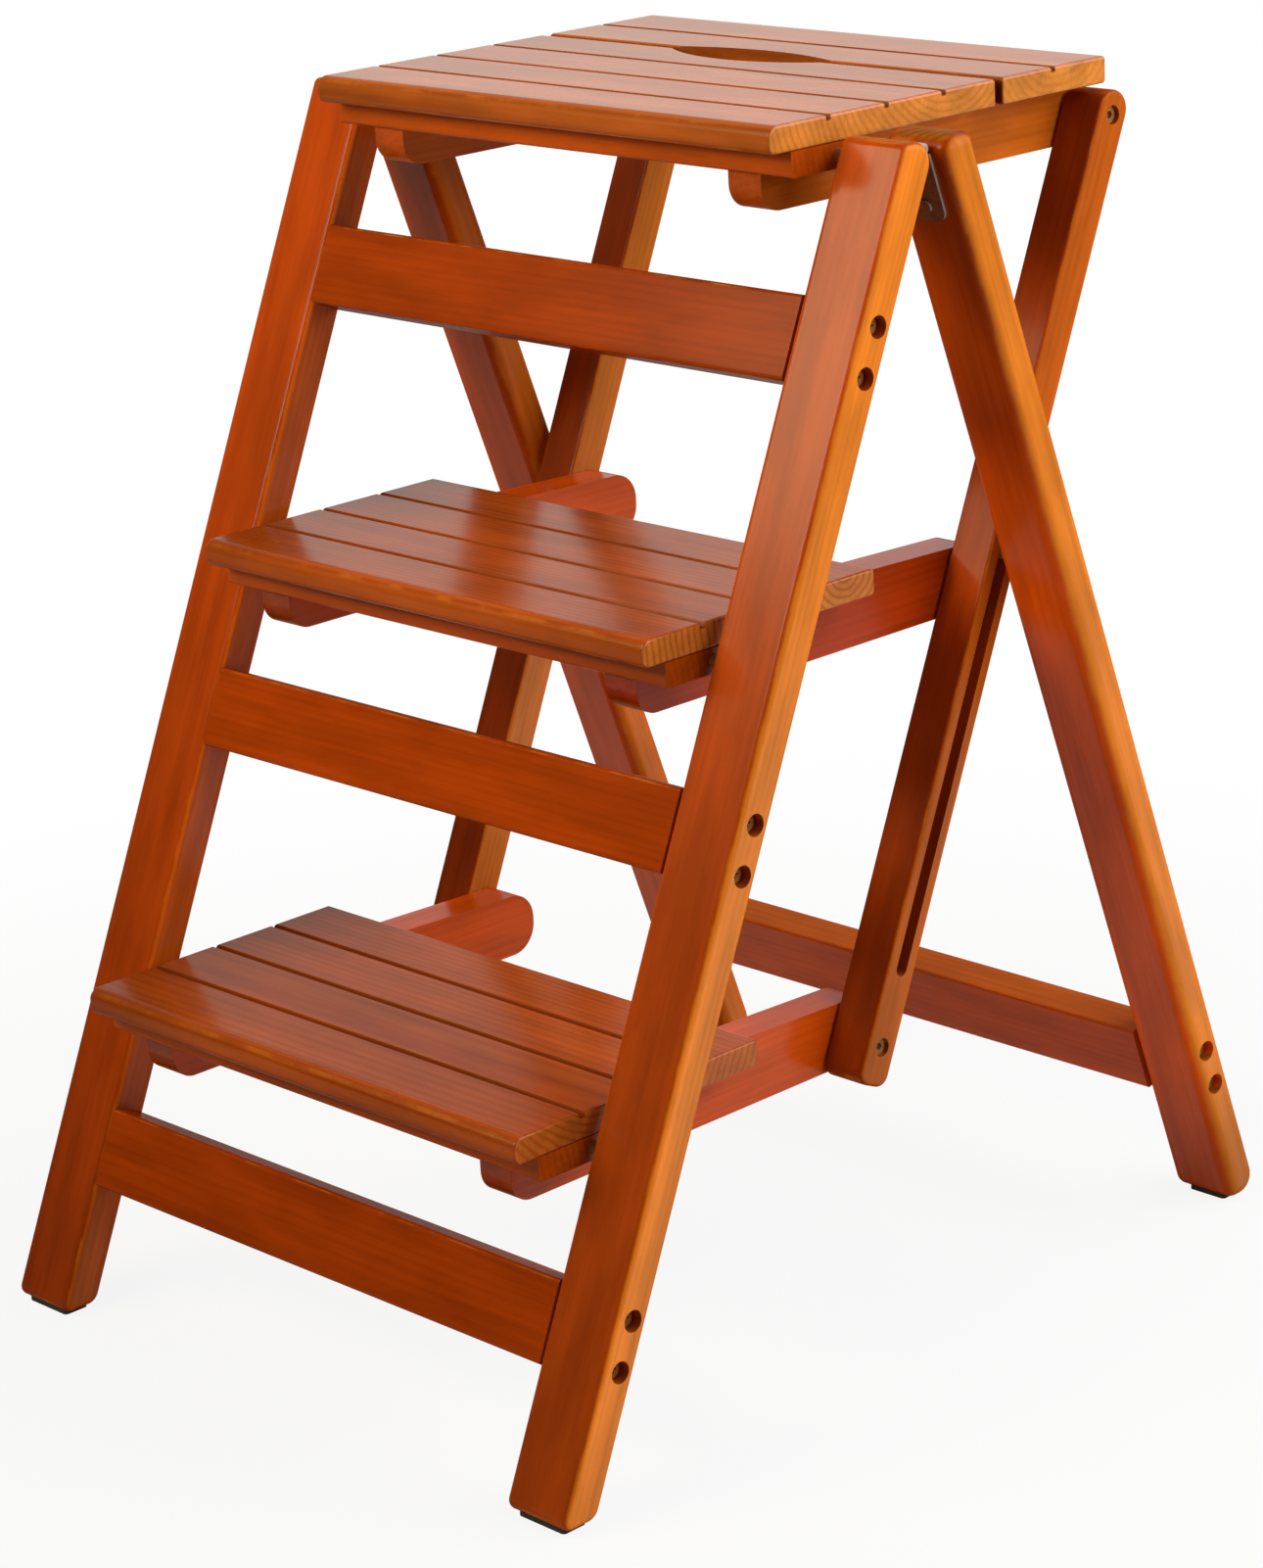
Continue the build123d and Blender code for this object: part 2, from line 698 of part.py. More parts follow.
save_both_sides(link_screws(lower_tread_height), "lower_tread_link_screws")

# Platform: two boards with a hand hole at the gap between them
platform_pitch = platform_depth / platform_slats
gap_back = platform_pitch * platform_front_slats
front_end = gap_back - platform_gap / 2
rear_start = gap_back + platform_gap / 2
front_grooves = [platform_pitch * count for count in range(1, platform_front_slats)]
rear_grooves = [platform_pitch * count for count in range(platform_front_slats + 1, platform_slats)]
front_screws = [platform_pitch * 2.5, platform_pitch * 3.5]
rear_screws = [platform_pitch * (platform_front_slats + 0.5)]


def hand_hole(edge_back, reach):
    """Cut one curved half of the hand hole through a board's edge."""
    edge_y = tread_point(platform_height, edge_back, 0)[0]
    with BuildSketch(Plane.XY.offset(platform_height - board_thickness)) as hole:
        with BuildLine():
            left_end = (hand_hole_shift - hand_hole_length / 2, edge_y)
            right_end = (hand_hole_shift + hand_hole_length / 2, edge_y)
            ThreePointArc(left_end, (hand_hole_shift, edge_y + reach), right_end)
            Line(right_end, left_end)
        make_face()
    extrude(hole.sketch, amount=board_thickness, mode=Mode.SUBTRACT)


with BuildPart() as platform_front:
    add(tread_board(platform_height, 0, front_end, front_grooves, front_screws, nosing_rounds))
    hand_hole(front_end, -hand_hole_front)
save(platform_front.part, "platform_front_board")

with BuildPart() as platform_rear:
    add(tread_board(platform_height, rear_start, platform_depth, rear_grooves, rear_screws,
                    (small_round, small_round)))
    hand_hole(rear_start, hand_hole_rear)
save(platform_rear.part, "platform_rear_board")
platform_screws = front_screws + rear_screws
platform_rail = side_rail(platform_height, platform_depth, 0, (0, 0), platform_rail_tail, platform_screws)
save_tread("platform", platform_height, 0, platform_rail, platform_screws)
save_both_sides(link_screws(platform_height), "platform_link_screws")

# Link bars with pivot bores and a guide slot in the outer face
link_front = link_middle - link_depth / 2
link_rear = link_middle + link_depth / 2
link_low = up_stile(link_pivots[2]) - link_tail
link_high = up_stile(link_pivots[0]) + link_head_reach
slot_top = guide_up_stile
slot_low = slot_top - slot_travel

with BuildPart() as link:
    with BuildSketch(Plane.YZ.offset(link_inner)) as outline:
        with BuildLine():
            Polyline(
                stile_point(link_low, link_front),
                stile_point(link_low, link_rear),
                stile_point(link_high, link_rear),
                stile_point(link_high, link_front),
                close=True,
            )
        make_face()
        fillet(outline.vertices().sort_by(Axis.Y)[-2:], radius=link_head_round)
        fillet(outline.vertices().sort_by(Axis.Y)[:2], radius=link_foot_round)
    extrude(amount=link_width)
    fillet(link.faces().sort_by(Axis.X)[0].edges(), radius=small_round)
    fillet(link.faces().sort_by(Axis.X)[-1].edges(), radius=small_round)
    link_bore = link_screw_shank + 2 * running_clearance
    drill(link_pivots[::2], link_bore_diameter, link_outer, -link_counterbore_depth)
    drill(link_pivots[::2], link_bore, link_outer, -link_width)
    drill(link_pivots[1:2], link_bore, link_inner, link_pin_reach)
    with BuildSketch(Plane.YZ.offset(link_outer)):
        with Locations(Location(stile_point((slot_top + slot_low) / 2, link_middle), 90 - stile_lean)):
            SlotCenterToCenter(slot_travel, guide_pin_diameter + 2 * slot_clearance)
    extrude(amount=-slot_depth, mode=Mode.SUBTRACT)
save_pair(link.part, "link_bar")

with BuildPart() as guide_pins:
    guide_point = stile_point(guide_up_stile, link_middle)
    guide_start = link_outer - slot_depth + slot_clearance
    rod([guide_point], guide_pin_diameter, guide_start, stile_inner - slot_clearance - guide_start)
save_both_sides(guide_pins.part, "guide_pins")
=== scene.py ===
from dataclasses import dataclass
from math import cos, pi, radians, sin, tan

import bpy
from mathutils import Matrix, Vector

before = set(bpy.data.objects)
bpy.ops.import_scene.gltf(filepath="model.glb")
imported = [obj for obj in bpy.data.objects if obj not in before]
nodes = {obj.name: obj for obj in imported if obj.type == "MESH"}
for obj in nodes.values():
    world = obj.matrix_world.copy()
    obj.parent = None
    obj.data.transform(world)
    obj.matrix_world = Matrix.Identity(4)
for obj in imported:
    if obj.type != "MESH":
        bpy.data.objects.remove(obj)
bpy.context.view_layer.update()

# Sizes of the part that the looks follow, in metres and radians
STILE_LEAN = radians(23.4)
LEG_LEAN = radians(19.5)
MIDDLE_Y = 0.271387
NOSING_OVERHANG = 0.045
TREAD_SLATS = 4
TREAD_PITCH = 0.165 / TREAD_SLATS
PLATFORM_FRONT_SLATS = 4
PLATFORM_REAR_SLATS = 2
PLATFORM_PITCH = 0.252 / (PLATFORM_FRONT_SLATS + PLATFORM_REAR_SLATS)
HAND_HOLE_SHIFT = -0.008


def board_top(node):
    return max(vertex.co.z for vertex in nodes[node].data.vertices)


LEVELS = {
    "platform": board_top("platform_front_board"),
    "middle_tread": board_top("middle_tread_board"),
    "lower_tread": board_top("lower_tread_board"),
}


def nosing_y(level):
    """Front edge of the tread or platform whose top is at a level."""
    return level * tan(STILE_LEAN) - NOSING_OVERHANG - MIDDLE_Y


class Graph:
    """A node tree with short calls for the nodes that the materials share."""

    def __init__(self, tree):
        self.tree = tree

    def node(self, kind, **settings):
        node = self.tree.nodes.new("ShaderNode" + kind)
        for name, value in settings.items():
            setattr(node, name, value)
        return node

    def feed(self, socket, value):
        """Link a socket to another node's output, or set it to a number, a vector or a colour."""
        if isinstance(value, bpy.types.NodeSocket):
            self.tree.links.new(value, socket)
        elif socket.type == "RGBA":
            socket.default_value = (*value, 1.0)
        else:
            socket.default_value = value

    def fill(self, node, **values):
        for name, value in values.items():
            self.feed(node.inputs[name.replace("_", " ")], value)

    def mapping(self, vector, kind="POINT", **values):
        node = self.node("Mapping", vector_type=kind)
        self.fill(node, Vector=vector, **values)
        return node.outputs[0]

    def split(self, vector):
        node = self.node("SeparateXYZ")
        self.feed(node.inputs[0], vector)
        return tuple(node.outputs)

    def noise(self, vector, scale, detail, roughness):
        node = self.node("TexNoise")
        self.fill(node, Vector=vector, Scale=scale, Detail=detail, Roughness=roughness)
        return node.outputs["Fac"]

    def math(self, operation, *values):
        node = self.node("Math", operation=operation)
        for socket, value in zip(node.inputs, values):
            self.feed(socket, value)
        return node.outputs[0]

    def times(self, first, *others):
        for other in others:
            first = self.math("MULTIPLY", first, other)
        return first

    def largest(self, first, *others):
        for other in others:
            first = self.math("MAXIMUM", first, other)
        return first

    def distance(self, first, second):
        return self.math("ABSOLUTE", self.math("SUBTRACT", first, second))

    def ease(self, value, low, high, to_low=0.0, to_high=1.0):
        """Smooth step of a value from one range to another."""
        node = self.node("MapRange", interpolation_type="SMOOTHSTEP")
        self.fill(node, Value=value, From_Min=low, From_Max=high, To_Min=to_low, To_Max=to_high)
        return node.outputs["Result"]

    def ramp(self, share, stops):
        node = self.node("ValToRGB")
        elements = node.color_ramp.elements
        while len(elements) < len(stops):
            elements.new(0.5)
        for element, (place, colour) in zip(elements, stops):
            element.position = place
            element.color = (*colour, 1.0)
        self.feed(node.inputs[0], share)
        return node.outputs[0]

    def mix(self, share, first, second, blend="MIX"):
        node = self.node("Mix", data_type="RGBA", blend_type=blend)
        factor, colour_a, colour_b = node.inputs[0], node.inputs[6], node.inputs[7]
        self.feed(factor, share)
        self.feed(colour_a, first)
        self.feed(colour_b, second)
        return node.outputs[2]

    def shade(self, colour, factor):
        return self.mix(1.0, colour, factor, "MULTIPLY")

    def bump(self, height, strength, distance):
        node = self.node("Bump")
        self.fill(node, Height=height, Strength=strength, Distance=distance)
        return node.outputs[0]


def start_material(name):
    material = bpy.data.materials.new(name)
    material.use_nodes = True
    tree = material.node_tree
    return material, Graph(tree), tree.nodes["Principled BSDF"]


# Timber colours: early and late wood of a ring
STAINED = ((0.365, 0.0430, 0.0012), (0.240, 0.0230, 0.0006))
LONG_SIDE = ((0.660, 0.180, 0.013), (0.450, 0.085, 0.006))
# Paler side colours of the stiles: partly paler edge grain, partly painted light
RIGHT_STILE_SIDE = ((0.780, 0.210, 0.015), (0.530, 0.100, 0.007))
LEFT_STILE_SIDE = ((0.820, 0.150, 0.010), (0.580, 0.085, 0.005))
END_GRAIN = ((0.620, 0.215, 0.034), (0.400, 0.110, 0.015))
# Painted shade in the grooves and at the platform's gap
GROOVE_SHADE_COLOUR = (0.120, 0.014, 0.001)
GAP_SHADE_COLOUR = (0.090, 0.011, 0.001)

# Turns that bring the grain of a piece to the z axis
GRAIN_TURN = {
    "across": (0.0, -pi / 2, 0.0),
    "stile": (STILE_LEAN, 0.0, 0.0),
    "leg": (-LEG_LEAN, 0.0, 0.0),
    "back": (pi / 2, 0.0, 0.0),
}

# Texture scales, with the grain along z
LONG_STRETCH = (1.0, 1.0, 0.07)
STAIN_STRETCH = (1.0, 1.0, 0.22)
STREAK_STRETCH = (420.0, 420.0, 9.0)
RING_SCALE = 75.0
RING_DISTORTION = 4.5
BROAD_SCALE = 26.0
STAIN_SCALE = 60.0
SCUFF_SCALE = 45.0

# Shades from the low to the high end of a noise, and the most that an edge is worn
STREAK_SHADES = (1.0, 0.88)
BROAD_SHADES = (0.88, 1.1)
STAIN_SHADES = (0.86, 1.12)
MOST_WEAR = 0.4

# Relief and varnish of the timber
RING_RELIEF = 0.4
GRAIN_STRENGTH = 0.12
GRAIN_DEPTH = 0.0004
WOOD_ROUGHNESS = (0.42, 0.55)
VARNISH_ROUGHNESS = 0.19
VARNISH_IOR = 1.35

# Ring contrast, and how dark the wood is at places between early and late wood
STAINED_CONTRAST = 0.2
END_CONTRAST = 0.7
RING_STOPS = ((0.0, 0.0), (0.6, 0.25), (1.0, 1.0))
END_STOPS = ((0.0, 0.0), (1.0, 1.0))

# Ranges of a normal's part that count as a side, top, front or end face, or as an edge
SIDE_FACING = (0.55, 0.95)
TOP_FACING = (0.6, 0.9)
FRONT_FACING = (-0.9, -0.3)
END_FACING = (0.75, 0.95)
WORN_EDGE = (0.42, 0.5)
THIN_EDGE = (0.04, 0.14)
THIN_EDGE_COAT = 0.25

# Heights and widths over which painted light and shade change a piece's colour, in metres
PAINTED_FOOT_SHADING_HEIGHTS = (0.0, 0.45)
PAINTED_HEAD_SHADOW_HEIGHTS = (0.46, 0.54)
PAINTED_HEEL_SHADE_HEIGHTS = (0.02, 0.11)
PAINTED_LEFT_END_SHADOW_PLACES = (-0.17, -0.06)

# Painted shade as dark lines in the grooves and at the platform's gap, in metres
LINE_HALF_WIDTH = (0.0012, 0.0023)
LINE_DEPTH = 0.0028
LINE_SHARE = 0.75
GAP_HALF_WIDTH = (0.0024, 0.0030)
GAP_SHARE = 0.9
BESIDE_HAND_HOLE = (0.045, 0.060)


@dataclass
class Look:
    """What sets a piece of timber apart. A share of 0 or a shade of 1 changes nothing."""

    tone: float = 1.0  # brightness of the stained faces
    green: float = 1.0  # green in the stained faces
    # Paler faces to the right are partly edge grain and partly painted light
    right: float = 0.0  # paleness of faces to the right
    left: float = 0.0  # paleness of faces to the left
    # The paleness of faces to the top is painted light
    top: float = 0.0  # paleness of faces to the top
    pale: float = 0.0  # least paleness of any face
    pale_wood: tuple = LONG_SIDE  # ring colours of pale faces
    contrast: float = 0.2  # ring contrast of pale faces
    ends: float = 0.0  # brightness of bare end grain
    painted_foot_shading: float = 1.0  # shade of the stained faces at the floor
    head: float = 1.0  # shade of the stained faces at the top
    painted_heel_shade: float = 1.0  # shade of all faces just above the floor
    # Front faces carry painted shade
    front: float = 1.0  # shade of front faces
    # The left end carries a painted shadow
    painted_left_end_shadow: float = 1.0  # shade of the left end
    coat: float = 1.0  # weight of the varnish
    front_coat: float = 1.0  # share of the varnish on front faces


@dataclass
class Slats:
    """Grooves that divide a board's top, and the y of the gap beside the board."""

    start: float
    pitch: float
    count: int
    top: float
    gap: float = None


def ring_colour(graph, rings, wood_colours, contrast, level, stops=RING_STOPS):
    """Colour across the rings, from early to late wood."""
    early, late = wood_colours

    def shade(share):
        return tuple((first + (last - first) * share * contrast) * level for first, last in zip(early, late))

    return graph.ramp(rings, [(place, shade(share)) for place, share in stops])


def face_colour(graph, look, rings, facing, place):
    """Stained faces, with paler wood on the sides that the look names. Paler faces to the right are partly
    painted light, paler faces to the top are painted light, and the stained faces carry painted shading
    towards the floor and a painted shadow at the top.
    """
    stained_wood = [(red, green * look.green, blue) for red, green, blue in STAINED]
    stained = ring_colour(graph, rings, stained_wood, STAINED_CONTRAST, look.tone)
    # Painted shading of the stained faces towards the floor
    if look.painted_foot_shading != 1.0:
        stained = graph.shade(stained, graph.ease(place[2], *PAINTED_FOOT_SHADING_HEIGHTS, look.painted_foot_shading, 1.0))
    # Painted shadow at the top of the stained faces
    if look.head != 1.0:
        stained = graph.shade(stained, graph.ease(place[2], *PAINTED_HEAD_SHADOW_HEIGHTS, 1.0, look.head))
    pale = ring_colour(graph, rings, look.pale_wood, look.contrast, 1.0)
    # Paler faces to the right: partly edge grain, partly painted light
    right = graph.ease(facing[0], *SIDE_FACING, 0.0, look.right)
    left = graph.ease(graph.math("MULTIPLY", facing[0], -1.0), *SIDE_FACING, 0.0, look.left)
    paleness = graph.largest(graph.math("ADD", right, left), look.pale)
    # Painted light on faces to the top
    if look.top:
        paleness = graph.largest(paleness, graph.ease(facing[2], *TOP_FACING, 0.0, look.top))
    return graph.mix(paleness, stained, pale)


def unevenness(graph, turned, long, streaks):
    """Shade of fine streaks, broad bands and an uneven stain."""
    broad = graph.noise(long, BROAD_SCALE, 2.0, 0.5)
    stain = graph.noise(graph.mapping(turned, Scale=STAIN_STRETCH), STAIN_SCALE, 4.0, 0.55)
    return graph.times(
        graph.ease(streaks, 0.35, 0.7, *STREAK_SHADES),
        graph.ease(broad, 0.3, 0.7, *BROAD_SHADES),
        graph.ease(stain, 0.32, 0.68, *STAIN_SHADES),
    )


def worn_share(graph, position, edge):
    """Scuffed places along the edges."""
    scuffs = graph.noise(position, SCUFF_SCALE, 4.0, 0.6)
    return graph.times(graph.ease(edge, *WORN_EDGE), graph.ease(scuffs, 0.45, 0.65, 0.0, MOST_WEAR))


def with_painted_shade(graph, look, colour, facing, place):
    """Painted shadow on a piece's left end, and painted shade at its heel and on its front faces."""
    # Painted shadow on the left end
    if look.painted_left_end_shadow < 1.0:
        colour = graph.shade(colour, graph.ease(place[0], *PAINTED_LEFT_END_SHADOW_PLACES, look.painted_left_end_shadow, 1.0))
    # Painted shade just above the floor
    if look.painted_heel_shade < 1.0:
        colour = graph.shade(colour, graph.ease(place[2], *PAINTED_HEEL_SHADE_HEIGHTS, look.painted_heel_shade, 1.0))
    # Painted shade on front faces
    if look.front < 1.0:
        colour = graph.shade(colour, graph.ease(facing[1], *FRONT_FACING, look.front, 1.0))
    return colour


def painted_groove_and_gap_shade(graph, colour, place, slats):
    """Painted shade as dark lines in a board's grooves and beside the platform's gap."""
    if slats.gap is not None:
        off_gap = graph.distance(place[1], slats.gap)
        off_hole = graph.distance(place[0], HAND_HOLE_SHIFT)
        at_gap = graph.ease(off_gap, *GAP_HALF_WIDTH, 1.0, 0.0)
        beside_hole = graph.ease(off_hole, *BESIDE_HAND_HOLE)
        colour = graph.mix(graph.times(at_gap, beside_hole, GAP_SHARE), colour, GAP_SHADE_COLOUR)
    slat = graph.math("DIVIDE", graph.math("SUBTRACT", place[1], slats.start), slats.pitch)
    nearest = graph.math("ROUND", slat)
    line = graph.ease(graph.times(graph.distance(slat, nearest), slats.pitch), *LINE_HALF_WIDTH, 1.0, 0.0)
    past_first = graph.math("GREATER_THAN", nearest, 0.5)
    before_last = graph.math("LESS_THAN", nearest, slats.count - 0.5)
    high = graph.math("GREATER_THAN", place[2], slats.top - LINE_DEPTH)
    return graph.mix(graph.times(line, past_first, before_last, high, LINE_SHARE), colour, GROOVE_SHADE_COLOUR)


def wood(name, grain, pith, look, slats=None):
    """Varnished timber with rings round a pith line and streaks along the grain."""
    material, graph, shader = start_material(name)
    coords = graph.node("TexCoord").outputs
    place = graph.split(coords["Object"])
    facing = graph.split(coords["Normal"])
    turned = graph.mapping(coords["Object"], Rotation=GRAIN_TURN[grain], Location=pith)
    long = graph.mapping(turned, Scale=LONG_STRETCH)
    streaks = graph.noise(graph.mapping(turned, Scale=STREAK_STRETCH), 1.0, 5.0, 0.6)
    wave = graph.node("TexWave", wave_type="RINGS", rings_direction="Z", wave_profile="SIN")
    graph.fill(wave, Vector=long, Scale=RING_SCALE, Distortion=RING_DISTORTION, Detail=2.0, Detail_Scale=0.5)
    rings = wave.outputs["Fac"]
    turned_normal = graph.mapping(coords["Normal"], "VECTOR", Rotation=GRAIN_TURN[grain])
    across, through, along = [graph.math("ABSOLUTE", part) for part in graph.split(turned_normal)]
    edge = graph.largest(
        graph.times(across, through),
        graph.times(through, along),
        graph.times(across, along),
    )

    colour = face_colour(graph, look, rings, facing, place)
    if look.ends:
        end_wood = ring_colour(graph, rings, LONG_SIDE, END_CONTRAST, look.ends, END_STOPS)
        colour = graph.mix(graph.ease(along, *END_FACING), colour, end_wood)
    colour = graph.shade(colour, unevenness(graph, turned, long, streaks))
    colour = graph.mix(worn_share(graph, coords["Object"], edge), colour, LONG_SIDE[0])
    colour = with_painted_shade(graph, look, colour, facing, place)
    if slats:
        colour = painted_groove_and_gap_shade(graph, colour, place, slats)

    # The faces of rails across the stool lean, so the test for edges is no use there
    coat = look.coat
    if look.front_coat < 1.0:
        coat = graph.ease(facing[1], *FRONT_FACING, look.coat * look.front_coat, look.coat)
    elif grain != "across":
        coat = graph.ease(edge, *THIN_EDGE, look.coat, look.coat * THIN_EDGE_COAT)
    height = graph.math("ADD", graph.times(rings, RING_RELIEF), streaks)
    graph.feed(shader.inputs["Base Color"], colour)
    graph.feed(shader.inputs["Roughness"], graph.ease(streaks, 0.3, 0.7, *WOOD_ROUGHNESS))
    graph.feed(shader.inputs["Specular IOR Level"], 0.0)
    graph.feed(shader.inputs["Coat Weight"], coat)
    graph.feed(shader.inputs["Coat Roughness"], VARNISH_ROUGHNESS)
    graph.feed(shader.inputs["Coat IOR"], VARNISH_IOR)
    graph.feed(shader.inputs["Normal"], graph.bump(height, GRAIN_STRENGTH, GRAIN_DEPTH))
    return material


def metal(name, light, dark, rough, metallic, rim=None):
    """Plated steel with stains and fine scratches, and a lighter colour round the rims of flat leaves."""
    material, graph, shader = start_material(name)
    coords = graph.node("TexCoord").outputs
    stain = graph.noise(coords["Object"], 160.0, 4.0, 0.6)
    scratch = graph.noise(coords["Object"], 1400.0, 2.0, 0.5)
    colour = graph.ramp(stain, [(0.35, light), (0.7, dark)])
    if rim:
        facing = graph.split(coords["Normal"])
        flat = graph.ease(graph.math("ABSOLUTE", facing[1]), 0.6, 0.9)
        colour = graph.mix(flat, rim, colour)
    graph.feed(shader.inputs["Base Color"], colour)
    graph.feed(shader.inputs["Roughness"], graph.ease(stain, 0.3, 0.7, rough - 0.1, rough + 0.15))
    graph.feed(shader.inputs["Metallic"], metallic)
    graph.feed(shader.inputs["Normal"], graph.bump(scratch, 0.15, 0.0002))
    return material


def rubber(name):
    """Dark rubber with dust in its fine texture."""
    material, graph, shader = start_material(name)
    coords = graph.node("TexCoord").outputs
    grit = graph.noise(coords["Object"], 500.0, 4.0, 0.65)
    colour = graph.ramp(grit, [(0.3, (0.012, 0.010, 0.009)), (0.75, (0.045, 0.038, 0.034))])
    graph.feed(shader.inputs["Base Color"], colour)
    graph.feed(shader.inputs["Roughness"], graph.ease(grit, 0.3, 0.7, 0.6, 0.85))
    graph.feed(shader.inputs["Normal"], graph.bump(grit, 0.3, 0.0003))
    return material


def dress(node, material):
    data = nodes[node].data
    data.materials.clear()
    data.materials.append(material)


# Frame and links: grain, place of the pith and look of each piece. Faces to the right are partly painted
# light, the rear rail's top is painted light, the feet carry painted shading, and the right rear leg's top
# and heel painted shade.
FRAME_TIMBER = {
    "right_front_stile": ("stile", (-0.150, 0.055, 0.3), Look(
        tone=1.02, green=0.9, right=1.0, left=0.15, pale=0.07, pale_wood=RIGHT_STILE_SIDE,
        ends=0.6, painted_foot_shading=0.88)),
    "left_front_stile": ("stile", (0.235, 0.060, 0.1), Look(
        right=0.70, left=1.0, pale_wood=LEFT_STILE_SIDE, ends=0.6, painted_foot_shading=0.80)),
    "right_rear_leg": ("leg", (-0.160, -0.290, 0.2), Look(
        tone=1.42, right=1.0, left=0.3, ends=0.5, painted_foot_shading=1.3, head=0.6, painted_heel_shade=0.65)),
    "left_rear_leg": ("leg", (0.230, -0.300, 0.5), Look(tone=1.08, right=0.55, left=1.0, ends=0.5)),
    "upper_front_rail": ("across", (0.59, 0.02, 0.12), Look(tone=0.68, coat=0.4)),
    "middle_front_rail": ("across", (0.33, 0.13, 0.4), Look(tone=0.92, coat=0.3)),
    "lower_front_rail": ("across", (0.05, 0.22, 0.7), Look(tone=0.88, coat=0.3)),
    "rear_rail": ("across", (0.10, -0.21, 0.9), Look(tone=1.38, top=0.4)),
    "right_link_bar": ("stile", (-0.120, -0.02, 0.15), Look(
        right=0.38, left=0.3, ends=0.5, painted_foot_shading=0.5, coat=0.6)),
    "left_link_bar": ("stile", (0.130, -0.03, 0.65), Look(tone=0.72, right=0.8, left=0.5, ends=0.5)),
}
for node, (grain, pith, look) in FRAME_TIMBER.items():
    dress(node, wood(node + "_wood", grain, pith, look))

# Share of a level by which the grain of strips and side rails is moved along, so that no two are alike
GRAIN_SHIFT = 3.1

# Side rails: each one's own look, with painted shade on the front faces, and the paler faces of the
# platform's pair, which are partly painted light
SIDE_RAIL_LOOKS = {
    ("platform", "left"): {"tone": 1.60, "front": 0.5},
    ("platform", "right"): {"tone": 1.15, "front": 0.65},
    ("middle_tread", "left"): {"tone": 1.60, "green": 0.95, "front": 0.35},
    ("middle_tread", "right"): {"tone": 1.08, "green": 0.65, "front": 0.5},
    ("lower_tread", "left"): {"tone": 1.85, "green": 0.95, "front": 0.35},
    ("lower_tread", "right"): {"tone": 1.50, "green": 0.95, "front": 0.45},
}
PITH_ABOVE_RAIL = 0.05
PITH_BESIDE_RAIL = {"left": 0.17, "right": -0.11}
for (tread, hand), values in SIDE_RAIL_LOOKS.items():
    node = tread + "_" + hand + "_side_rail"
    level = LEVELS[tread]
    beside = PITH_BESIDE_RAIL[hand]
    outer, pale = (0.55, 0.15) if tread == "platform" else (0.05, 0.0)
    pith = (beside, level + PITH_ABOVE_RAIL, level * GRAIN_SHIFT + beside)
    dress(node, wood(node + "_wood", "back", pith, Look(right=outer, left=outer, pale=pale, **values)))

# Strips under the nosings, with painted shade on their front faces
STRIP_PAINTED_FRONT_SHADE = {"platform": 0.88, "middle_tread": 0.99, "lower_tread": 0.99}
STRIP_PITH_DROP = 0.01
STRIP_PITH_BACK = 0.09
FRONT_COAT = 0.45
for tread, painted_front_shade in STRIP_PAINTED_FRONT_SHADE.items():
    level = LEVELS[tread]
    pith = (level - STRIP_PITH_DROP, -nosing_y(level) - STRIP_PITH_BACK, level * GRAIN_SHIFT)
    look = Look(right=0.1, left=0.1, pale=0.12, contrast=0.8, front=painted_front_shade, front_coat=FRONT_COAT)
    dress(tread + "_strip", wood(tread + "_strip_wood", "across", pith, look))

# Tread boards: the pith's place behind the nosing and above the top, and the paleness of the ends. Their
# front faces carry painted shade and their left ends a painted shadow, and the lower tread's ends are less
# pale as painted shade.
TREAD_BOARDS = {"middle_tread": (0.143, 0.004, 0.7), "lower_tread": (0.055, 0.040, 0.4)}
for tread, (pith_back, pith_rise, end_pale) in TREAD_BOARDS.items():
    level = LEVELS[tread]
    pith = (level + pith_rise, -nosing_y(level) - pith_back, level * 2.0)
    look = Look(right=end_pale, left=end_pale, pale=0.16, pale_wood=END_GRAIN, contrast=0.9, front=0.78,
                painted_left_end_shadow=0.68, front_coat=FRONT_COAT)
    slats = Slats(nosing_y(level), TREAD_PITCH, TREAD_SLATS, level)
    dress(tread + "_board", wood(tread + "_board_wood", "across", pith, look, slats))

# Platform boards, in front of the gap and behind it, with painted shade on their front faces and a painted
# shadow on the front board's left end
platform_level = LEVELS["platform"]
platform_front = nosing_y(platform_level)
platform_gap = platform_front + PLATFORM_PITCH * PLATFORM_FRONT_SLATS
front_slats = Slats(platform_front, PLATFORM_PITCH, PLATFORM_FRONT_SLATS, platform_level, platform_gap)
rear_slats = Slats(platform_gap, PLATFORM_PITCH, PLATFORM_REAR_SLATS, platform_level, platform_gap)
platform_look = {"right": 0.95, "left": 0.95, "pale": 0.28, "pale_wood": END_GRAIN, "front_coat": FRONT_COAT}
dress("platform_front_board", wood(
    "platform_front_board_wood", "across", (0.67, -platform_front - 0.13, 0.3),
    Look(contrast=0.5, front=0.66, painted_left_end_shadow=0.85, **platform_look), front_slats))
dress("platform_rear_board", wood(
    "platform_rear_board_wood", "across", (0.665, -platform_front - 0.215, 0.8),
    Look(contrast=0.35, front=0.55, **platform_look), rear_slats))

# Fastenings and pads
screw_steel = metal("screw_steel", (0.400, 0.165, 0.040), (0.250, 0.095, 0.022), 0.45, 0.25)
hinge_steel = metal("hinge_steel", (0.26, 0.13, 0.06), (0.14, 0.07, 0.03), 0.36, 0.55, (0.66, 0.58, 0.48))
pad_rubber = rubber("pad_rubber")
for node in nodes:
    if "hinge" in node:
        dress(node, hinge_steel)
    elif node.endswith(("_screws", "_pins")):
        dress(node, screw_steel)
    elif node.endswith("_pads"):
        dress(node, pad_rubber)

